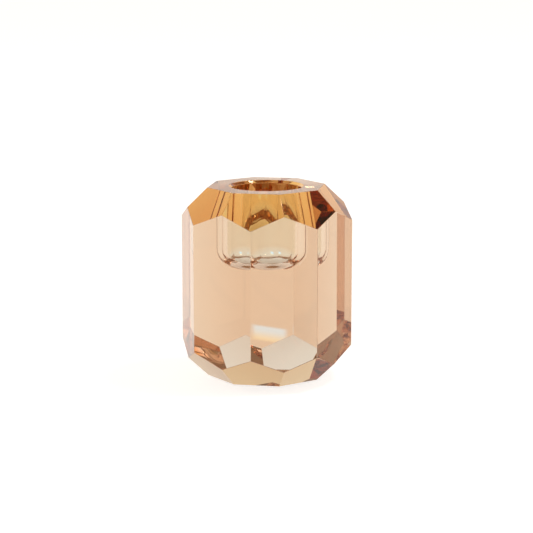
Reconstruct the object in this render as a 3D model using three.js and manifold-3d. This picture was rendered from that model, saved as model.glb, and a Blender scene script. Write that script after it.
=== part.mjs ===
// Tealight holder: one solid, faceted block of amber crystal with a round blind well in its top,
// standing on four clear bumper pads.
// Millimetres, +Z up. The origin is on the surface it stands on, under the middle of the block, and
// one of the block's eight upright faces looks towards -Y.
import * as THREE from "three";
import { mergeVertices } from "three/addons/utils/BufferGeometryUtils.js";
import Module from "manifold-3d";

const wasm = await Module();
wasm.setup();

// The block: an upright prism whose upper and lower corners are cut away by sloping facets.
const SIDES = 8;
const ACROSS_FLATS = 90;
const BLOCK_HEIGHT = 107.5;
const TABLE_ACROSS_FLATS = 62; // the flat top and the flat base are the same size
const BEVEL_SLOPE = 1.02; // millimetres down for each millimetre out from the table's edge

// The well: wide enough for the metal cup of a standard tealight.
const CUP_DIAMETER = 38;
const CUP_CLEARANCE = 0.7; // all round the cup
const WELL_DEPTH = 44;
const WELL_FILLET = 10; // between the wall and the floor
const MOUTH_CHAMFER = 1.5;
const WELL_SEGMENTS = 72;
const FILLET_STEPS = 8;
const CUTTER_RISE = 5; // how far the cutting shape stands out above the table

// The pads: thin self-adhesive discs under the base.
const PAD_DIAMETER = 10;
const PAD_THICKNESS = 1.5;
const PAD_CHAMFER = 0.4; // round the lower rim
const PAD_CIRCLE_RADIUS = 18; // from the block's axis to each pad's
const PAD_GAP = 0.3; // left for the layer of adhesive
const PAD_SEGMENTS = 32;

// Worked out from the sizes above.
const HALF_SIDE = Math.PI / SIDES; // half the angle that one side takes up
const BLOCK_FOOT = PAD_THICKNESS + PAD_GAP;
const BLOCK_TOP = BLOCK_FOOT + BLOCK_HEIGHT;
const WELL_RADIUS = CUP_DIAMETER / 2 + CUP_CLEARANCE;

const crystal = new THREE.MeshStandardMaterial({
  color: 0xe4b78d,
  roughness: 0.02,
  metalness: 0,
  transparent: true,
  opacity: 0.6,
});
const clearRubber = new THREE.MeshStandardMaterial({
  color: 0xe6e6e2,
  roughness: 0.35,
  metalness: 0,
  transparent: true,
  opacity: 0.7,
});

// The closed solid of a geometry, which is then ready for a boolean cut.
function solidFrom(geometry) {
  const bare = geometry.clone().deleteAttribute("normal").deleteAttribute("uv");
  const welded = mergeVertices(bare, 1e-4);
  return new wasm.Manifold(
    new wasm.Mesh({
      numProp: 3,
      vertProperties: welded.attributes.position.array,
      triVerts: new Uint32Array(welded.index.array),
    }),
  );
}

// The geometry of a solid, shaded flat so that each facet keeps its sharp edges.
function geometryFrom(solid) {
  const mesh = solid.getMesh();
  const geometry = new THREE.BufferGeometry();
  geometry.setAttribute("position", new THREE.BufferAttribute(mesh.vertProperties, 3));
  geometry.setIndex(new THREE.BufferAttribute(mesh.triVerts, 1));
  const faceted = geometry.toNonIndexed();
  faceted.computeVertexNormals();
  return faceted;
}

// A closed solid of revolution about +Z from (radius, height) points that start and end on the axis,
// lowest first. firstAngle is where its first vertex stands, measured from +X.
function turned(points, segments, firstAngle = 0) {
  const profile = points.map(([radius, height]) => new THREE.Vector2(radius, height));
  const geometry = new THREE.LatheGeometry(profile, segments);
  geometry.rotateX(Math.PI / 2); // the lathe turns about Y, and its first vertices land on -Y
  geometry.rotateZ(Math.PI / 2 + firstAngle);
  return geometry;
}

// The upright prism, with its edges half a side away from the axes, so that a face looks along each.
function prism() {
  const cornerRadius = ACROSS_FLATS / 2 / Math.cos(HALF_SIDE);
  const outline = [
    [0, 0],
    [cornerRadius, 0],
    [cornerRadius, BLOCK_HEIGHT],
    [0, BLOCK_HEIGHT],
  ];
  return solidFrom(turned(outline, SIDES, HALF_SIDE));
}

// Two eight-sided cones, base to base, with their tips cut flat at the table and at the base. Each of
// their sloping sides is centred over one of the prism's upright edges.
function bevelBody() {
  const middle = BLOCK_HEIGHT / 2;
  const tableApothem = TABLE_ACROSS_FLATS / 2;
  const middleApothem = tableApothem + middle / BEVEL_SLOPE;
  const tableCorner = tableApothem / Math.cos(HALF_SIDE);
  const middleCorner = middleApothem / Math.cos(HALF_SIDE);
  const outline = [
    [0, 0],
    [tableCorner, 0],
    [middleCorner, middle],
    [tableCorner, BLOCK_HEIGHT],
    [0, BLOCK_HEIGHT],
  ];
  return solidFrom(turned(outline, SIDES));
}

// The shape that the well removes: floor, fillet, straight wall and chamfered mouth.
function wellCutter() {
  const floor = BLOCK_HEIGHT - WELL_DEPTH;
  const filletCentre = [WELL_RADIUS - WELL_FILLET, floor + WELL_FILLET];
  const outline = [[0, floor]];
  for (let step = 0; step <= FILLET_STEPS; step++) {
    const angle = (step / FILLET_STEPS) * (Math.PI / 2);
    outline.push([
      filletCentre[0] + WELL_FILLET * Math.sin(angle),
      filletCentre[1] - WELL_FILLET * Math.cos(angle),
    ]);
  }
  outline.push(
    [WELL_RADIUS, BLOCK_HEIGHT - MOUTH_CHAMFER],
    [WELL_RADIUS + MOUTH_CHAMFER + CUTTER_RISE, BLOCK_HEIGHT + CUTTER_RISE],
    [0, BLOCK_HEIGHT + CUTTER_RISE],
  );
  return solidFrom(turned(outline, WELL_SEGMENTS));
}

// The crystal block, standing clear of the floor by the pads and their adhesive.
function crystalBlock() {
  const solid = prism().intersect(bevelBody()).subtract(wellCutter());
  const block = new THREE.Mesh(geometryFrom(solid), crystal);
  block.name = "crystal_block";
  block.position.z = BLOCK_FOOT;
  return block;
}

// One clear disc with a chamfer round its lower rim.
function bumperPad(name, angle) {
  const radius = PAD_DIAMETER / 2;
  const outline = [
    [0, 0],
    [radius - PAD_CHAMFER, 0],
    [radius, PAD_CHAMFER],
    [radius, PAD_THICKNESS],
    [0, PAD_THICKNESS],
  ];
  const pad = new THREE.Mesh(turned(outline, PAD_SEGMENTS), clearRubber);
  pad.name = name;
  pad.position.set(PAD_CIRCLE_RADIUS * Math.cos(angle), PAD_CIRCLE_RADIUS * Math.sin(angle), 0);
  return pad;
}

// The four pads, a quarter turn apart and midway between the axes.
function bumperPads() {
  const corners = ["back_right", "back_left", "front_left", "front_right"];
  const pads = new THREE.Group();
  corners.forEach((corner, index) => {
    const angle = Math.PI / 4 + (index * Math.PI) / 2;
    pads.add(bumperPad(`bumper_pad_${corner}`, angle));
  });
  return pads;
}

const holder = new THREE.Group();
holder.name = "tealight_holder";
holder.add(crystalBlock(), bumperPads());

export default holder;
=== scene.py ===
"""A tealight holder cut from one block of pale amber crystal, standing on a pale studio floor.

Lengths are in metres unless a name says otherwise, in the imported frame: +Z is up along the well, and
one of the block's eight upright faces looks towards -Y.
"""

import logging
import math
from dataclasses import dataclass
from enum import Enum
from typing import Any

import bpy
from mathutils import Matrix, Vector


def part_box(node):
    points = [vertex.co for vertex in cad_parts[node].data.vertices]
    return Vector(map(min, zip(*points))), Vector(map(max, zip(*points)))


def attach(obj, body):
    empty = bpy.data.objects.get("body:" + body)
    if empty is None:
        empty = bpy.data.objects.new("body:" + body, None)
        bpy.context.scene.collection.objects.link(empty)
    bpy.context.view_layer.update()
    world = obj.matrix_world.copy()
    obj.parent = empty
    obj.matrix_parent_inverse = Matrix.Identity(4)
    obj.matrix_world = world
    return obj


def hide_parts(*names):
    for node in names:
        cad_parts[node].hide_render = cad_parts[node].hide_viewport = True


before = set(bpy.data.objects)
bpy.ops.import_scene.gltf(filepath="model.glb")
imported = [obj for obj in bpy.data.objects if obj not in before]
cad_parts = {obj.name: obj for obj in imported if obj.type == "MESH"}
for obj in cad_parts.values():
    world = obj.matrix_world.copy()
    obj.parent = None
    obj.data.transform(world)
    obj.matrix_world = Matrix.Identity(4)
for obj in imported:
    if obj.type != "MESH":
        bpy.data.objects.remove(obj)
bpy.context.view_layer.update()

LOG = logging.getLogger("tealight_holder")
MM = 0.001
SIDES = 8
HALF_SIDE = math.pi / SIDES
BODY = "root"
CLEAR = (1.0, 1.0, 1.0, 1.0)
WELD = 0.0005 * MM
SLOPING = math.sin(math.radians(45.0))  # the upward part of a sloping facet's normal, near enough
MOST_HEADROOM = 1.0001  # keeps every part of the absorption's colour above nought


class Value:
    """A number or field that comes out of a node, written with Python's own operators."""

    def __init__(self, graph: "Graph", socket: bpy.types.NodeSocket) -> None:
        """Wraps a node's output.

        Args:
            graph: The graph that the node stands in.
            socket: The output socket.
        """
        self.graph = graph
        self.socket = socket

    def maths(self, operation: str, *numbers: "float | Value") -> "Value":
        """The result of a Math node that starts with this value.

        Args:
            operation: The node's operation.
            *numbers: Its other inputs, in order.

        Returns:
            The node's output.
        """
        inputs = dict(enumerate((self, *numbers)))
        return self.graph.node("ShaderNodeMath", {"operation": operation}, inputs)

    def maths_after(self, operation: str, first: float) -> "Value":
        """The result of a Math node that starts with a plain number.

        Args:
            operation: The node's operation.
            first: The plain number.

        Returns:
            The node's output.
        """
        inputs = {0: first, 1: self}
        return self.graph.node("ShaderNodeMath", {"operation": operation}, inputs)

    def __add__(self, other: "float | Value") -> "Value":
        """The sum."""
        return self.maths("ADD", other)

    def __radd__(self, other: float) -> "Value":
        """The sum, with a plain number first."""
        return self.maths_after("ADD", other)

    def __sub__(self, other: "float | Value") -> "Value":
        """The difference."""
        return self.maths("SUBTRACT", other)

    def __rsub__(self, other: float) -> "Value":
        """The difference, with a plain number first."""
        return self.maths_after("SUBTRACT", other)

    def __mul__(self, other: "float | Value") -> "Value":
        """The product."""
        return self.maths("MULTIPLY", other)

    def __rmul__(self, other: float) -> "Value":
        """The product, with a plain number first."""
        return self.maths_after("MULTIPLY", other)

    def __truediv__(self, other: "float | Value") -> "Value":
        """The quotient."""
        return self.maths("DIVIDE", other)

    def __rtruediv__(self, other: float) -> "Value":
        """The quotient, with a plain number first."""
        return self.maths_after("DIVIDE", other)


class Graph:
    """A node tree that is written as calls and expressions."""

    def __init__(self, tree: bpy.types.NodeTree) -> None:
        """Wraps a tree.

        Args:
            tree: The node tree of a material, a world or a shape.
        """
        self.tree = tree

    def place(self, kind: str, settings: dict[str, Any], inputs: dict[Any, Any]) -> bpy.types.Node:
        """Adds a node.

        Args:
            kind: The node's type name.
            settings: Its own properties, which are set first.
            inputs: What each input gets, by the socket's name or number.

        Returns:
            The node.
        """
        node = self.tree.nodes.new(kind)
        for name, setting in settings.items():
            setattr(node, name, setting)
        for key, given in inputs.items():
            socket = self.open_socket(node.inputs, key)
            if isinstance(given, Value):
                self.tree.links.new(given.socket, socket)
            else:
                socket.default_value = given
        return node

    @staticmethod
    def open_socket(sockets: Any, key: "str | int") -> bpy.types.NodeSocket:
        """The socket with a name or number. Where several share the name, it is the one in use.

        Args:
            sockets: A node's inputs or its outputs.
            key: The name or number.

        Returns:
            The socket.
        """
        if isinstance(key, int):
            return sockets[key]
        return next(socket for socket in sockets if socket.name == key and socket.enabled)

    def node(
        self,
        kind: str,
        settings: dict[str, Any],
        inputs: dict[Any, Any],
        output: "str | int" = 0,
    ) -> Value:
        """Adds a node and gives one of its outputs.

        Args:
            kind: The node's type name.
            settings: Its own properties, which are set first.
            inputs: What each input gets, by the socket's name or number.
            output: The wanted output's name or number.

        Returns:
            The output.
        """
        return Value(self, self.open_socket(self.place(kind, settings, inputs).outputs, output))


@dataclass(frozen=True)
class Corner:
    """A corner of a turned profile."""

    radius: "float | Value"
    height: "float | Value"
    rounding: "float | Value" = 0.0


class ShapeTree(Graph):
    """A Geometry Nodes tree with a named input for each size."""

    def __init__(self, name: str, sizes: dict[str, float]) -> None:
        """Starts the tree.

        Args:
            name: The tree's name.
            sizes: The named inputs and what they are set to. A whole number makes a whole-number input.
        """
        super().__init__(bpy.data.node_groups.new(name, "GeometryNodeTree"))
        self.sizes = sizes
        interface = self.tree.interface
        interface.new_socket("Geometry", in_out="INPUT", socket_type="NodeSocketGeometry")
        interface.new_socket("Geometry", in_out="OUTPUT", socket_type="NodeSocketGeometry")
        for label, size in sizes.items():
            kind = "NodeSocketInt" if isinstance(size, int) else "NodeSocketFloat"
            interface.new_socket(label, in_out="INPUT", socket_type=kind)
        self.entry = self.tree.nodes.new("NodeGroupInput")

    def size(self, label: str) -> Value:
        """The named input."""
        return Value(self, self.entry.outputs[label])

    def vector(self, x: "float | Value", y: "float | Value", z: "float | Value") -> Value:
        """A vector of three numbers.

        Args:
            x: Its first part.
            y: Its second part.
            z: Its third part.

        Returns:
            The vector.
        """
        return self.node("ShaderNodeCombineXYZ", {}, {"X": x, "Y": y, "Z": z})

    def pick(self, kind: str, choices: "list[float | Value]") -> Value:
        """A field that gives each point the choice with its own number.

        Args:
            kind: The choices' data type.
            choices: One for each point.

        Returns:
            The field.
        """
        switch = self.place("GeometryNodeIndexSwitch", {"data_type": kind}, {})
        while len(switch.index_switch_items) < len(choices):
            switch.index_switch_items.new()
        self.tree.links.new(self.node("GeometryNodeInputIndex", {}, {}).socket, switch.inputs["Index"])
        for number, choice in enumerate(choices):
            if isinstance(choice, Value):
                self.tree.links.new(choice.socket, switch.inputs[str(number)])
            else:
                switch.inputs[str(number)].default_value = choice
        return Value(self, switch.outputs[0])

    def turned(
        self, corners: list[Corner], path_radius: "float | Value", segments: Value, steps: Value
    ) -> Value:
        """Turns a profile about the Z axis into a closed, smooth surface.

        Args:
            corners: The profile's corners. The first and the last are on the axis.
            path_radius: A radius for the circle that the profile travels on. Any will do.
            segments: How many steps make the whole turn.
            steps: How many steps make each rounding.

        Returns:
            The surface.
        """
        spots = [self.vector(c.radius - path_radius, -1.0 * c.height, 0.0) for c in corners]
        cloud = self.node("GeometryNodePoints", {}, {"Count": len(corners)})
        placed = {"Geometry": cloud, "Position": self.pick("VECTOR", spots)}
        cloud = self.node("GeometryNodeSetPosition", {}, placed)
        line = self.node("GeometryNodePointsToCurves", {}, {"Points": cloud})
        roundings = self.pick("FLOAT", [c.rounding for c in corners])
        rounded = {"Curve": line, "Count": steps, "Radius": roundings, "Limit Radius": True}
        line = self.node("GeometryNodeFilletCurve", {"mode": "POLY"}, rounded)
        ring = {"Resolution": segments, "Radius": path_radius}
        path = self.node("GeometryNodeCurvePrimitiveCircle", {"mode": "RADIUS"}, ring)
        surface = self.node("GeometryNodeCurveToMesh", {}, {"Curve": path, "Profile Curve": line})
        welded = {"Geometry": surface, "Distance": WELD}
        surface = self.node("GeometryNodeMergeByDistance", {}, welded)
        surface = self.node("GeometryNodeFlipFaces", {}, {"Mesh": surface})
        return self.node("GeometryNodeSetShadeSmooth", {}, {"Geometry": surface, "Shade Smooth": True})

    def finish(self, geometry: Value, material: "bpy.types.Material | None" = None) -> None:
        """Ends the tree.

        Args:
            geometry: What the tree makes.
            material: The material that it gets, if it gets one here.
        """
        geometry = self.node("GeometryNodeRealizeInstances", {}, {"Geometry": geometry})
        if material is not None:
            dressed = {"Geometry": geometry, "Material": material}
            geometry = self.node("GeometryNodeSetMaterial", {}, dressed)
        leave = self.tree.nodes.new("NodeGroupOutput")
        self.tree.links.new(geometry.socket, leave.inputs[0])

    def add_to(self, piece: bpy.types.Object) -> None:
        """Puts the tree on an object as a modifier, with every size set.

        Args:
            piece: The object.
        """
        modifier = piece.modifiers.new(self.tree.name, "NODES")
        modifier.node_group = self.tree
        for item in self.tree.interface.items_tree:
            if item.in_out == "INPUT" and item.name in self.sizes:
                modifier[item.identifier] = self.sizes[item.name]


def empty_piece(name: str) -> bpy.types.Object:
    """An object at the origin with no mesh of its own yet.

    Args:
        name: The piece's name.

    Returns:
        The object, linked to the scene.
    """
    piece = bpy.data.objects.new(name, bpy.data.meshes.new(name))
    bpy.context.scene.collection.objects.link(piece)
    return piece


def settle(piece: bpy.types.Object, material: bpy.types.Material) -> None:
    """Turns what an object's modifiers make into its own plain mesh, in one material.

    Args:
        piece: The object, whose modifiers are removed.
        material: Its finish.
    """
    evaluated = piece.evaluated_get(bpy.context.evaluated_depsgraph_get())
    mesh = bpy.data.meshes.new_from_object(evaluated)
    piece.modifiers.clear()
    old = piece.data
    piece.data = mesh
    bpy.data.meshes.remove(old)
    mesh.name = piece.name
    mesh.materials.clear()
    mesh.materials.append(material)
    mesh.polygons.foreach_set("material_index", [0] * len(mesh.polygons))


def new_finish(name: str) -> tuple[bpy.types.Material, Graph]:
    """A new material with an empty node tree.

    Args:
        name: Its name.

    Returns:
        The material and its tree.
    """
    material = bpy.data.materials.new(name)
    material.use_nodes = True
    graph = Graph(material.node_tree)
    graph.tree.nodes.clear()
    return material, graph


@dataclass(frozen=True)
class AmberCrystal:
    """Polished lead-free crystal, tinted all through, with painted golden light on its upper facets and
    painted tints of the light seen through its other faces.
    """

    ior: float = 1.52
    taken_per_metre: tuple[float, float, float] = (2.95, 6.75, 9.8)
    sheen_tint: tuple[float, float, float] = (1.0, 0.78, 0.55)
    # Painted light: golden tint on the upper sloping facets and the well's mouth, standing in for the
    # amber light they show.
    upper_lustre: tuple[float, float, float] = (0.83, 0.40, 0.065)
    # Painted light: weaker tint on the lower sloping facets, standing in for the light seen through them.
    lower_lustre: tuple[float, float, float] = (0.70, 0.695, 0.47)
    # Painted light: tint on the well's walls and where light leaves the outer faces, standing in for the
    # light seen through them.
    inward_film: tuple[float, float, float] = (0.82, 0.68, 0.50)
    # Painted light: tint on every other face, standing in for the colour of the light seen through them.
    film: tuple[float, float, float] = (0.87, 0.97, 1.0)
    slope_match: tuple[float, float] = (0.15, 0.09)
    upright_match: tuple[float, float] = (0.6, 0.2)
    level_match: tuple[float, float] = (0.97, 0.9)
    upper_from: float = 55 * MM
    mouth_from: float = 99 * MM
    mouth_fade: float = 4 * MM
    sharp_fade: float = 1 * MM
    smear_per_metre: float = 26.0
    smear_detail: float = 5.0
    smear_distortion: float = 1.4
    smear_range: tuple[float, float] = (0.56, 0.78)
    smear_colour: tuple[float, float, float] = (0.955, 0.965, 0.975)
    smear_roughness: float = 0.035
    polish_per_metre: float = 70.0
    polish_height: float = 0.0012 * MM

    def stance(self, graph: Graph) -> tuple[Value, Value, Value]:
        """How the surface stands. Its normal is the one that faces the light's path, so it points
        into the block where light leaves the glass.

        Args:
            graph: The material's tree.

        Returns:
            The upward part of the normal, the height, and one where the normal points away from the
            block's axis and nought where it points towards it.
        """
        way = graph.place("ShaderNodeTexCoord", {}, {})
        place = Value(graph, way.outputs["Object"])
        normal = Value(graph, way.outputs["Normal"])
        lean = graph.node("ShaderNodeSeparateXYZ", {}, {0: normal}, "Z")
        height = graph.node("ShaderNodeSeparateXYZ", {}, {0: place}, "Z")
        level = {0: place, 1: (1.0, 1.0, 0.0)}
        level = graph.node("ShaderNodeVectorMath", {"operation": "MULTIPLY"}, level)
        across = {0: level, 1: normal}
        away = graph.node("ShaderNodeVectorMath", {"operation": "DOT_PRODUCT"}, across, "Value")
        return lean, height, self.switched(graph, away, (0.0, self.sharp_fade))

    def upper(self, graph: Graph) -> Value:
        """Where the painted golden light is: the upper sloping facets, and over the lip into the well's
        mouth.

        Args:
            graph: The material's tree.

        Returns:
            One there and nought elsewhere.
        """
        lean, height, outward = self.stance(graph)
        sloping = self.switched(graph, (lean - SLOPING).maths("ABSOLUTE"), self.slope_match)
        high = self.switched(graph, height, (self.upper_from, self.upper_from + self.sharp_fade))
        not_level = self.switched(graph, lean.maths("ABSOLUTE"), self.level_match)
        mouth = self.switched(graph, height, (self.mouth_from, self.mouth_from + self.mouth_fade))
        return sloping * high * outward + mouth * not_level * (1.0 - outward)

    def lower(self, graph: Graph) -> Value:
        """Where the weaker painted light is: the eight lower sloping facets.

        Args:
            graph: The material's tree.

        Returns:
            One there and nought elsewhere.
        """
        lean, _, outward = self.stance(graph)
        return self.switched(graph, (lean + SLOPING).maths("ABSOLUTE"), self.slope_match) * outward

    def inward(self, graph: Graph) -> Value:
        """Where upright walls face the axis and get the painted inward tint: the well's, and the outer
        faces where light leaves them.

        Args:
            graph: The material's tree.

        Returns:
            One there and nought elsewhere.
        """
        lean, _, outward = self.stance(graph)
        return self.switched(graph, lean.maths("ABSOLUTE"), self.upright_match) * (1.0 - outward)

    @staticmethod
    def switched(graph: Graph, amount: Value, ends: tuple[float, float]) -> Value:
        """A soft switch.

        Args:
            graph: The material's tree.
            amount: What it goes by.
            ends: Where it is nought and where it is one.

        Returns:
            The switch.
        """
        off, on = ends
        return graph.node("ShaderNodeMapRange", {}, {"Value": amount, "From Min": off, "From Max": on})

    def tints(self, graph: Graph) -> Value:
        """The painted light: the colour that each part of the surface gives to light that passes through
        it, standing in for the light seen through that part.

        Args:
            graph: The material's tree.

        Returns:
            The colour.
        """
        # Painted light: the outer faces' tint first, then the inward, lower and upper painted tints over
        # it.
        colour = (*self.film, 1.0)
        layers = (
            (self.inward(graph), self.inward_film),
            (self.lower(graph), self.lower_lustre),
            (self.upper(graph), self.upper_lustre),
        )
        for where, tint in layers:
            mixed = {"Factor": where, "A": colour, "B": (*tint, 1.0)}
            colour = graph.node("ShaderNodeMix", {"data_type": "RGBA"}, mixed, "Result")
        return colour

    def skin(self, graph: Graph) -> Value:
        """The polished skin: its painted light tints, faint finger smears, and the slight wave of a
        polishing wheel.

        Args:
            graph: The material's tree.

        Returns:
            The surface shader.
        """
        place = graph.node("ShaderNodeTexCoord", {}, {}, "Object")
        smear = {
            "Vector": place,
            "Scale": self.smear_per_metre,
            "Detail": self.smear_detail,
            "Distortion": self.smear_distortion,
        }
        smears = graph.node("ShaderNodeTexNoise", {}, smear, "Fac")
        faint, full = self.smear_range
        spread = {"Value": smears, "From Min": faint, "From Max": full}
        touched = graph.node("ShaderNodeMapRange", {"interpolation_type": "SMOOTHSTEP"}, spread)
        wave = {"Vector": place, "Scale": self.polish_per_metre, "Detail": 1.0}
        waves = graph.node("ShaderNodeTexNoise", {}, wave, "Fac")
        lift = {"Height": waves, "Strength": 1.0, "Distance": self.polish_height}
        greasy = {"Factor": touched, "A": self.tints(graph), "B": (*self.smear_colour, 1.0)}
        blend = {"data_type": "RGBA", "blend_type": "MULTIPLY"}
        polished = {
            "Base Color": graph.node("ShaderNodeMix", blend, greasy, "Result"),
            "Roughness": touched * self.smear_roughness,
            "IOR": self.ior,
            "Transmission Weight": 1.0,
            "Specular Tint": (*self.sheen_tint, 1.0),
            "Normal": graph.node("ShaderNodeBump", {}, lift),
        }
        return graph.node("ShaderNodeBsdfPrincipled", {}, polished)

    def material(self) -> bpy.types.Material:
        """Makes the material.

        Returns:
            Clear polished glass, whose colour comes from the depth that light has crossed and from
            the painted light tints on its surface.
        """
        material, graph = new_finish("polished_amber_crystal")
        most = max(self.taken_per_metre) * MOST_HEADROOM
        left = [1.0 - taken / most for taken in self.taken_per_metre]
        tint = {"Color": (*left, 1.0), "Density": most}
        depth = graph.node("ShaderNodeVolumeAbsorption", {}, tint)
        ends = {"Surface": self.skin(graph), "Volume": depth}
        graph.place("ShaderNodeOutputMaterial", {}, ends)
        return material


@dataclass
class CrystalBlock:
    """The solid block: eight upright faces, sixteen sloping facets and a round blind well."""

    low: Vector
    high: Vector
    table_across_flats: float = 62 * MM
    bevel_slope: float = 1.02
    well_radius: float = 19.7 * MM
    well_depth: float = 44 * MM
    well_fillet: float = 10 * MM
    mouth_chamfer: float = 1.5 * MM
    lip_rounding: float = 0.8 * MM
    arris: float = 0.25 * MM
    arris_steps: int = 2
    well_segments: int = 256
    well_steps: int = 24
    ripple: float = 0.03 * MM
    ripples_per_metre: float = 110.0
    ripple_stretch: tuple[float, float, float] = (1.0, 1.0, 0.25)
    ripple_fade: tuple[float, float] = (2 * MM, 6 * MM)
    support: float = 0.3 * MM
    cutter_lift: float = 0.02 * MM
    cutter_rise: float = 4 * MM
    same_facet: float = math.radians(0.5)
    edge_from: float = math.radians(5.0)
    most_weight: int = 100

    def cut_shape(self) -> ShapeTree:
        """The sharp-edged block, as the hull of its corners.

        Returns:
            The tree.
        """
        tree = ShapeTree(
            "cut_block",
            {
                "Across Flats": self.high.x - self.low.x,
                "Height": self.high.z - self.low.z,
                "Foot": self.low.z,
                "Table Across Flats": self.table_across_flats,
                "Bevel Slope": self.bevel_slope,
            },
        )
        face = tree.size("Across Flats") / 2.0
        table = tree.size("Table Across Flats") / 2.0
        half_height = tree.size("Height") / 2.0
        slope = tree.size("Bevel Slope")
        middle = tree.size("Foot") + half_height
        rounder = math.cos(HALF_SIDE)
        rings = [
            (table / rounder, half_height, 0.0),
            (face, half_height - slope * (face * rounder - table), 0.0),
            (face / rounder, half_height - slope * (face / rounder - table), HALF_SIDE),
        ]
        corners = []
        for radius, rise, turn in rings:
            for side in (1.0, -1.0):
                ring = tree.node("GeometryNodeMeshCircle", {}, {"Vertices": SIDES, "Radius": radius})
                lifted = {
                    "Geometry": ring,
                    "Translation": tree.vector(0.0, 0.0, middle + rise * side),
                    "Rotation": (0.0, 0.0, turn),
                }
                corners.append(tree.node("GeometryNodeTransform", {}, lifted))
        joined = tree.place("GeometryNodeJoinGeometry", {}, {})
        for ring in corners:
            tree.tree.links.new(ring.socket, joined.inputs[0])
        tree.finish(tree.node("GeometryNodeConvexHull", {}, {"Geometry": Value(tree, joined.outputs[0])}))
        return tree

    def bored_shape(self, material: bpy.types.Material) -> ShapeTree:
        """The well, bored out of whatever block the tree is given.

        Args:
            material: The crystal.

        Returns:
            The tree.
        """
        tree = ShapeTree(
            "bored_well",
            {
                "Top": self.high.z,
                "Well Radius": self.well_radius,
                "Well Depth": self.well_depth,
                "Fillet": self.well_fillet,
                "Mouth Chamfer": self.mouth_chamfer,
                "Lip Rounding": self.lip_rounding,
                "Segments": self.well_segments,
                "Steps": self.well_steps,
                "Ripple": self.ripple,
                "Ripples per Metre": self.ripples_per_metre,
            },
        )
        top = tree.size("Top")
        radius = tree.size("Well Radius")
        chamfer = tree.size("Mouth Chamfer")
        lip = tree.size("Lip Rounding")
        floor = top - tree.size("Well Depth")
        fillet = tree.size("Fillet")
        keep = self.support
        profile = [
            Corner(0.0, floor),
            Corner(radius - fillet - keep, floor),
            Corner(radius, floor, fillet),
            Corner(radius, floor + fillet + keep),
            Corner(radius, top - chamfer - lip - keep),
            Corner(radius, top - chamfer, lip),
            Corner(radius + chamfer, top, lip),
            Corner(radius + chamfer * 2.0, top + self.cutter_lift),
            Corner(radius + chamfer * 2.0, top + self.cutter_rise),
            Corner(0.0, top + self.cutter_rise),
        ]
        cutter = tree.turned(profile, radius, tree.size("Segments"), tree.size("Steps"))
        cutter = self.rippled(tree, cutter, top - chamfer)
        block = Value(tree, tree.entry.outputs["Geometry"])
        cut = {"Mesh 1": block, "Mesh 2": cutter}
        settings = {"operation": "DIFFERENCE", "solver": "EXACT"}
        bored = tree.node("GeometryNodeMeshBoolean", settings, cut)
        soft = {"Geometry": bored, "Shade Smooth": True}
        tree.finish(tree.node("GeometryNodeSetShadeSmooth", {}, soft), material)
        return tree

    def rippled(self, tree: ShapeTree, surface: Value, rim: Value) -> Value:
        """Gives the well's wall and floor the slight unevenness of hand polishing.

        Args:
            tree: The tree.
            surface: The turned surface of the well.
            rim: The height of the mouth's chamfer, which stays true.

        Returns:
            The uneven surface.
        """
        place = tree.node("GeometryNodeInputPosition", {}, {})
        stretched = {0: place, 1: self.ripple_stretch}
        stretched = tree.node("ShaderNodeVectorMath", {"operation": "MULTIPLY"}, stretched)
        uneven = {"Vector": stretched, "Scale": tree.size("Ripples per Metre"), "Detail": 1.0}
        wave = tree.node("ShaderNodeTexNoise", {}, uneven, 0)
        height = tree.node("ShaderNodeSeparateXYZ", {}, {0: place}, "Z")
        start, full = self.ripple_fade
        fade = {"Value": height, "From Min": rim - start, "From Max": rim - full}
        inside = tree.node("ShaderNodeMapRange", {}, fade)
        depth = (wave - 0.5) * 2.0 * tree.size("Ripple") * inside
        normal = tree.node("GeometryNodeInputNormal", {}, {})
        moved = {0: normal, "Scale": depth}
        offset = tree.node("ShaderNodeVectorMath", {"operation": "SCALE"}, moved)
        return tree.node("GeometryNodeSetPosition", {}, {"Geometry": surface, "Offset": offset})

    def build(self, material: bpy.types.Material) -> bpy.types.Object:
        """Makes the block.

        Args:
            material: The crystal.

        Returns:
            The piece.
        """
        piece = empty_piece("cut_crystal")
        self.cut_shape().add_to(piece)
        flat = piece.modifiers.new("one_face_per_facet", "DECIMATE")
        flat.decimate_type = "DISSOLVE"
        flat.angle_limit = self.same_facet
        edge = piece.modifiers.new("arris", "BEVEL")
        edge.width = self.arris
        edge.segments = self.arris_steps
        edge.limit_method = "ANGLE"
        edge.angle_limit = self.edge_from
        self.bored_shape(material).add_to(piece)
        flat = piece.modifiers.new("facets_stay_flat", "WEIGHTED_NORMAL")
        flat.mode = "FACE_AREA"
        flat.weight = self.most_weight
        settle(piece, material)
        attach(piece, BODY)
        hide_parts("crystal_block")
        return piece


class PadCorner(Enum):
    """Where a bumper pad stands, as its turn round the block's axis."""

    BACK_RIGHT = math.radians(45.0)
    BACK_LEFT = math.radians(135.0)
    FRONT_LEFT = math.radians(225.0)
    FRONT_RIGHT = math.radians(315.0)


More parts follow.
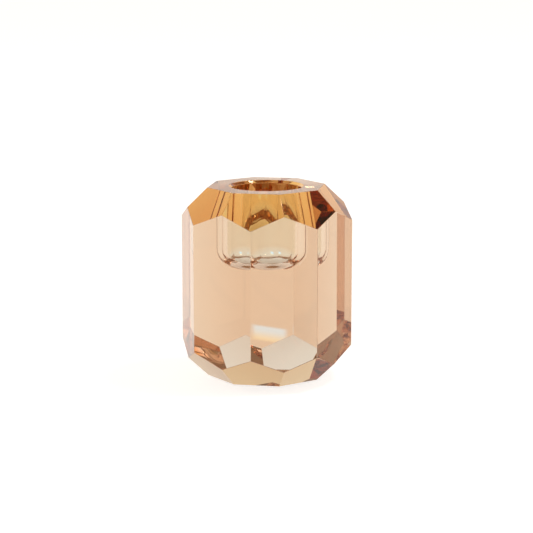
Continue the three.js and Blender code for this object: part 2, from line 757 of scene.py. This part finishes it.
@dataclass(frozen=True)
class ClearRubber:
    """Soft clear polyurethane, a little cloudy."""

    ior: float = 1.48
    roughness: tuple[float, float] = (0.18, 0.34)
    grain_per_metre: float = 900.0
    grain_detail: float = 3.0
    dimple: float = 0.02 * MM
    dimple_strength: float = 0.2
    colour: tuple[float, float, float] = (0.93, 0.94, 0.92)
    clearness: float = 0.9

    def material(self) -> bpy.types.Material:
        """Makes the material.

        Returns:
            A clear rubber whose skin is a little uneven.
        """
        material, graph = new_finish("clear_soft_rubber")
        place = graph.node("ShaderNodeTexCoord", {}, {}, "Object")
        grain = {"Vector": place, "Scale": self.grain_per_metre, "Detail": self.grain_detail}
        cloud = graph.node("ShaderNodeTexNoise", {}, grain, "Fac")
        low, high = self.roughness
        dimple = {"Height": cloud, "Strength": self.dimple_strength, "Distance": self.dimple}
        surface = {
            "Base Color": (*self.colour, 1.0),
            "Roughness": low + (high - low) * cloud,
            "IOR": self.ior,
            "Transmission Weight": self.clearness,
            "Normal": graph.node("ShaderNodeBump", {}, dimple),
        }
        skin = graph.node("ShaderNodeBsdfPrincipled", {}, surface)
        graph.place("ShaderNodeOutputMaterial", {}, {"Surface": skin})
        return material


@dataclass
class BumperPads:
    """Four thin self-adhesive discs with a softly domed lower rim."""

    radius: float = 5 * MM
    thickness: float = 1.5 * MM
    rim_rounding: float = 0.4 * MM
    back_rim_share: float = 0.2
    circle_radius: float = 18 * MM
    segments: int = 96
    steps: int = 8

    def disc_shape(self, turn: float) -> ShapeTree:
        """One disc in its place.

        Args:
            turn: Where it stands round the block's axis.

        Returns:
            The tree.
        """
        tree = ShapeTree(
            "pad_disc",
            {
                "Radius": self.radius,
                "Thickness": self.thickness,
                "Rim Rounding": self.rim_rounding,
                "Across": self.circle_radius * math.cos(turn),
                "Along": self.circle_radius * math.sin(turn),
                "Segments": self.segments,
                "Steps": self.steps,
            },
        )
        radius = tree.size("Radius")
        thickness = tree.size("Thickness")
        rim = tree.size("Rim Rounding")
        profile = [
            Corner(0.0, 0.0),
            Corner(radius, 0.0, rim),
            Corner(radius, thickness, rim * self.back_rim_share),
            Corner(0.0, thickness),
        ]
        disc = tree.turned(profile, radius, tree.size("Segments"), tree.size("Steps"))
        place = tree.vector(tree.size("Across"), tree.size("Along"), 0.0)
        moved = {"Geometry": disc, "Translation": place}
        tree.finish(tree.node("GeometryNodeTransform", {}, moved))
        return tree

    def build(self, material: bpy.types.Material) -> list[bpy.types.Object]:
        """Makes the four pads.

        Args:
            material: The rubber.

        Returns:
            The pieces.
        """
        pads = []
        for corner in PadCorner:
            where = corner.name.lower()
            pad = empty_piece(f"{where}_pad")
            self.disc_shape(corner.value).add_to(pad)
            settle(pad, material)
            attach(pad, BODY)
            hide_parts(f"bumper_pad_{where}")
            pads.append(pad)
        return pads


@dataclass(frozen=True)
class SoftBox:
    """A plain white light box that faces the holder."""

    name: str
    bearing: float
    elevation: float
    distance: float
    side: float
    radiance: float

    def place(self, target: Vector, behind: float) -> bpy.types.Object:
        """Sets up the light.

        Args:
            target: What it faces.
            behind: The direction straight away from the camera, from which bearings turn to the right.

        Returns:
            The light.
        """
        data = bpy.data.lights.new(self.name, "AREA")
        data.shape = "SQUARE"
        data.size = self.side
        data.energy = self.radiance * math.pi * self.side**2
        light = bpy.data.objects.new(self.name, data)
        bpy.context.scene.collection.objects.link(light)
        away = heading(behind - self.bearing, self.elevation)
        light.location = target + self.distance * away
        light.rotation_euler = away.to_track_quat("Z", "Y").to_euler()
        return light


def heading(azimuth: float, elevation: float = 0.0) -> Vector:
    """The unit vector of a direction.

    Args:
        azimuth: Its turn from +X.
        elevation: Its rise from level.

    Returns:
        The vector.
    """
    level = math.cos(elevation)
    return Vector((level * math.cos(azimuth), level * math.sin(azimuth), math.sin(elevation)))


SOFT_BOXES = (
    SoftBox(
        name="key_box",
        bearing=math.radians(88.0),
        elevation=math.radians(63.0),
        distance=2.2,
        side=0.36,
        radiance=22.0,
    ),
    SoftBox(
        name="right_box",
        bearing=math.radians(100.0),
        elevation=math.radians(38.0),
        distance=2.4,
        side=1.1,
        radiance=1.5,
    ),
    SoftBox(
        name="left_box",
        bearing=math.radians(-90.0),
        elevation=math.radians(38.0),
        distance=2.4,
        side=1.1,
        radiance=1.3,
    ),
)

# The studio's walls and ceiling: each tone, after the rise of the unit step that meets it.
WALL_TONES = (
    (0.10, (0.84, 0.80, 0.75, 1.0)),
    (0.20, (1.05, 0.90, 0.78, 1.0)),
    (0.27, (1.14, 1.12, 1.06, 1.0)),
    (0.34, (1.20, 1.24, 1.22, 1.0)),
    (0.46, (0.78, 0.66, 0.52, 1.0)),
    (0.60, (0.54, 0.47, 0.37, 1.0)),
    (1.00, (0.36, 0.27, 0.17, 1.0)),
)


@dataclass(frozen=True)
class PaleFloor:
    """White paint that glows a little, with a painted amber shade under the block and one painted glint
    behind it.
    """

    paint: float = 0.6
    roughness: float = 0.9
    glow: float = 0.74
    # Painted shade: darkens the floor's glow to amber under the block, inside the shade radii.
    shade: tuple[float, float, float] = (0.30, 0.13, 0.04)
    shade_radii: tuple[float, float] = (12 * MM, 24 * MM)
    # Painted glint: a bright spot in the floor's glow behind the block, standing in for light bent through
    # it.
    glint_near: tuple[float, float, float] = (1.35, 1.45, 1.15)
    glint_far: tuple[float, float, float] = (1.0, 1.7, 2.6)
    glint_place: tuple[float, float] = (-5 * MM, 134 * MM)
    glint_half: tuple[float, float] = (11 * MM, 21 * MM)
    glint_skew: float = -0.35
    glint_roundness: float = 0.3
    glint_edge: tuple[float, float] = (1.15, 0.7)
    glint_rainbow: tuple[float, float] = (-1.0, 0.6)

    @staticmethod
    def smoothed(graph: Graph, amount: Value, ends: tuple[float, float]) -> Value:
        """A smooth switch.

        Args:
            graph: The floor's tree.
            amount: What it goes by.
            ends: Where it is nought and where it is one.

        Returns:
            The switch.
        """
        off, on = ends
        given = {"Value": amount, "From Min": off, "From Max": on}
        return graph.node("ShaderNodeMapRange", {"interpolation_type": "SMOOTHSTEP"}, given)

    @staticmethod
    def mixed(graph: Graph, share: Value, first: Any, second: Any) -> Value:
        """A mix of two colours.

        Args:
            graph: The floor's tree.
            share: How much of the second there is.
            first: The first colour.
            second: The second colour.

        Returns:
            The colour.
        """
        given = {"Factor": share, "A": first, "B": second}
        return graph.node("ShaderNodeMix", {"data_type": "RGBA"}, given, "Result")

    def colour(self, graph: Graph, aside: float, behind: float) -> Value:
        """The colour of the floor's glow, with its painted shade under the block and its painted glint
        behind it.

        Args:
            graph: The floor's tree.
            aside: The direction that lies to the camera's right.
            behind: The direction straight away from the camera.

        Returns:
            The colour.
        """
        place = graph.node("ShaderNodeTexCoord", {}, {}, "Object")
        reach = graph.node("ShaderNodeVectorMath", {"operation": "LENGTH"}, {0: place}, "Value")
        # Painted shade under the block, in the glow's colour.
        lit = self.smoothed(graph, reach, self.shade_radii)
        plain = self.mixed(graph, lit, (*self.shade, 1.0), CLEAR)
        # Painted glint: a rounded patch of brighter glow behind the block, shading from the near colour to
        # the far.
        right, back = self.glint_place
        centre = tuple(right * heading(aside) + back * heading(behind))
        offset = graph.node("ShaderNodeVectorMath", {"operation": "SUBTRACT"}, {0: place, 1: centre})
        parts = []
        for direction, half in zip((aside, behind), self.glint_half):
            across = {0: offset, 1: tuple(heading(direction) / half)}
            part = graph.node("ShaderNodeVectorMath", {"operation": "DOT_PRODUCT"}, across, "Value")
            parts.append(part)
        wide, deep = parts
        deep = deep - self.glint_skew * wide
        out = deep.maths("ABSOLUTE")
        flat_sided = wide.maths("ABSOLUTE").maths("SMOOTH_MAX", out, self.glint_roundness)
        rainbow = self.smoothed(graph, deep, self.glint_rainbow)
        glint = self.mixed(graph, rainbow, (*self.glint_near, 1.0), (*self.glint_far, 1.0))
        return self.mixed(graph, self.smoothed(graph, flat_sided, self.glint_edge), plain, glint)

    def material(self, aside: float, behind: float) -> bpy.types.Material:
        """Makes the material.

        Args:
            aside: The direction that lies to the camera's right.
            behind: The direction straight away from the camera.

        Returns:
            The floor's finish.
        """
        material, graph = new_finish("pale_floor")
        surface = {
            "Base Color": (self.paint, self.paint, self.paint, 1.0),
            "Roughness": self.roughness,
            "Specular IOR Level": 0.0,
            "Emission Color": self.colour(graph, aside, behind),
            "Emission Strength": self.glow,
        }
        shader = graph.node("ShaderNodeBsdfPrincipled", {}, surface)
        graph.place("ShaderNodeOutputMaterial", {}, {"Surface": shader})
        return material


@dataclass
class Studio:
    """A plain pale floor, soft light all round and the camera."""

    middle: Vector
    width: float
    floor_side: float = 40.0
    camera_azimuth: float = math.radians(-12.37)
    camera_elevation: float = math.radians(11.507)
    camera_pitch: float = math.radians(-11.0997)
    camera_distance: float = 11.51
    camera_aside: float = 0.107 * MM
    lens: float = 123.858
    sensor_width: float = 36.0
    clip_start: float = 0.05
    bounces: int = 24
    front_light: float = 0.8
    front_to_back: tuple[float, float] = (-0.5, 0.6)

    @property
    def behind(self) -> float:
        """The direction straight away from the camera."""
        return self.camera_azimuth + math.pi / 2

    def floor(self) -> bpy.types.Object:
        """Lays the floor.

        Returns:
            A very large pale sheet.
        """
        half = self.floor_side / 2.0
        corners = [(-half, -half, 0.0), (half, -half, 0.0), (half, half, 0.0), (-half, half, 0.0)]
        floor = empty_piece("studio_floor")
        floor.data.from_pydata(corners, [], [(0, 1, 2, 3)])
        floor.data.materials.append(PaleFloor().material(self.camera_azimuth, self.behind))
        return floor

    def world(self) -> None:
        """Fills the studio with soft light, a little brighter behind the holder."""
        world = bpy.data.worlds.new("studio_light")
        world.use_nodes = True
        bpy.context.scene.world = world
        graph = Graph(world.node_tree)
        graph.tree.nodes.clear()
        way = graph.node("ShaderNodeTexCoord", {}, {}, "Generated")
        rise = graph.node("ShaderNodeSeparateXYZ", {}, {0: way}, "Z")
        back = {0: way, 1: tuple(heading(self.behind))}
        back = graph.node("ShaderNodeVectorMath", {"operation": "DOT_PRODUCT"}, back, "Value")
        ramp = graph.place("ShaderNodeValToRGB", {}, {0: rise})
        stops = ramp.color_ramp.elements
        lowest, *between, highest = WALL_TONES
        for stop, (rise_at, tone) in zip(stops, (lowest, highest)):
            stop.position = rise_at
            stop.color = tone
        for rise_at, tone in between:
            stops.new(rise_at).color = tone
        front, rear = self.front_to_back
        side = {"Value": back, "From Min": front, "From Max": rear, "To Min": self.front_light}
        side = graph.node("ShaderNodeMapRange", {"interpolation_type": "SMOOTHSTEP"}, side)
        glow = {"Color": Value(graph, ramp.outputs[0]), "Strength": side}
        graph.place("ShaderNodeOutputWorld", {}, {"Surface": graph.node("ShaderNodeBackground", {}, glow)})

    def camera(self) -> bpy.types.Object:
        """Sets up the camera.

        Returns:
            The camera, level from side to side.
        """
        data = bpy.data.cameras.new("studio_camera")
        data.lens = self.lens
        data.sensor_width = self.sensor_width
        data.clip_start = self.clip_start
        data.clip_end = 2.0 * self.floor_side
        camera = bpy.data.objects.new("studio_camera", data)
        bpy.context.scene.collection.objects.link(camera)
        bpy.context.scene.camera = camera
        reach = self.camera_distance * self.width
        away = reach * heading(self.behind + math.pi, self.camera_elevation)
        camera.location = self.middle + away + self.camera_aside * heading(self.camera_azimuth)
        camera.rotation_euler = (math.pi / 2 + self.camera_pitch, 0.0, self.camera_azimuth)
        return camera

    def build(self) -> None:
        """Sets up the whole studio."""
        self.floor()
        self.world()
        self.camera()
        for box in SOFT_BOXES:
            box.place(self.middle, self.behind)
        scene = bpy.context.scene
        scene.view_settings.view_transform = "Standard"
        scene.cycles.max_bounces = self.bounces
        scene.cycles.transmission_bounces = self.bounces
        scene.cycles.glossy_bounces = self.bounces


def main() -> None:
    """Builds the holder and its studio."""
    low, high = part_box("crystal_block")
    block = CrystalBlock(low, high).build(AmberCrystal().material())
    LOG.info("cut_crystal: %d faces", len(block.data.polygons))
    for pad in BumperPads().build(ClearRubber().material()):
        LOG.info("%s: %d faces", pad.name, len(pad.data.polygons))
    Studio((low + high) / 2.0, high.x - low.x).build()


if __name__ == "__main__":
    logging.basicConfig(level=logging.INFO, format="%(message)s")
    main()
